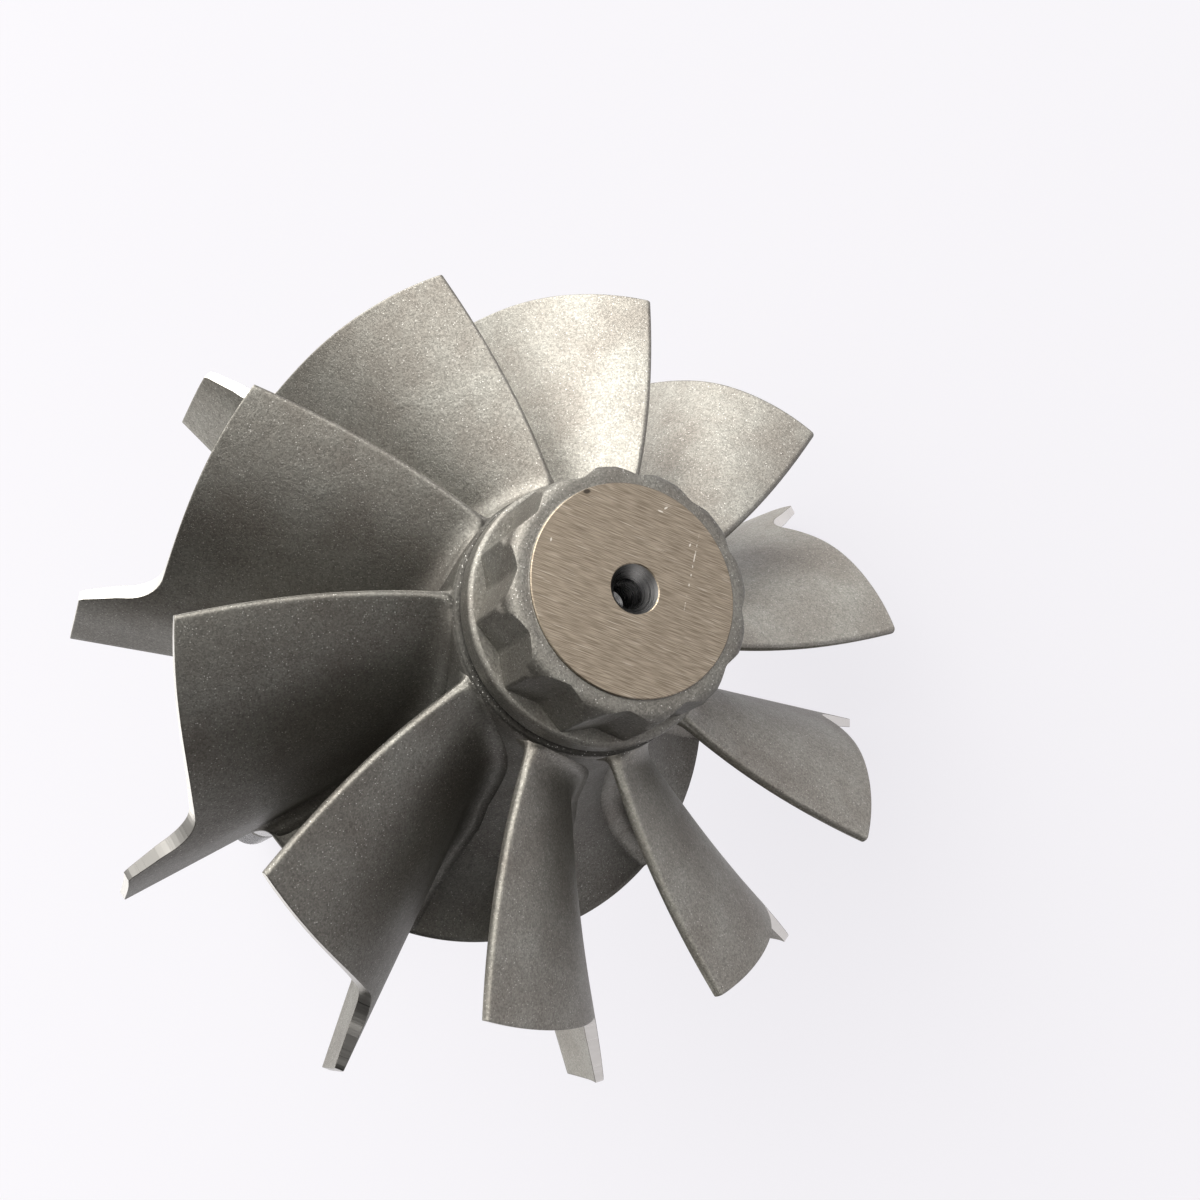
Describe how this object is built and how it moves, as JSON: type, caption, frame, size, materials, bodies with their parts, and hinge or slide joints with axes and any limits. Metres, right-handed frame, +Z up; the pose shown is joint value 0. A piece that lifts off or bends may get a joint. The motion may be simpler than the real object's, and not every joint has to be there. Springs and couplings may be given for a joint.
{
  "type": "turbine shaft wheel",
  "caption": "Radial-inflow turbocharger turbine wheel with hooked blades and a twelve-point nose, friction welded to its turned steel shaft.",
  "frame": {"origin": "centre of the footprint of the part as it lies, on the plane of the bench", "axes": "+Z up; the part lies on two blade tips and the end of its shaft, with the nose towards -Y and the shaft running down towards +Y"},
  "size_m": [0.0906, 0.1888, 0.0869],
  "materials": {
    "cast_alloy": "as-cast nickel alloy with fine shell grain, ground on the nose face and the blade edges",
    "turned_steel": "turned and ground"
  },
  "bodies": {
    "root": {"turbine_wheel": "cast_alloy", "shaft": "turned_steel"}
  },
  "joints": []
}
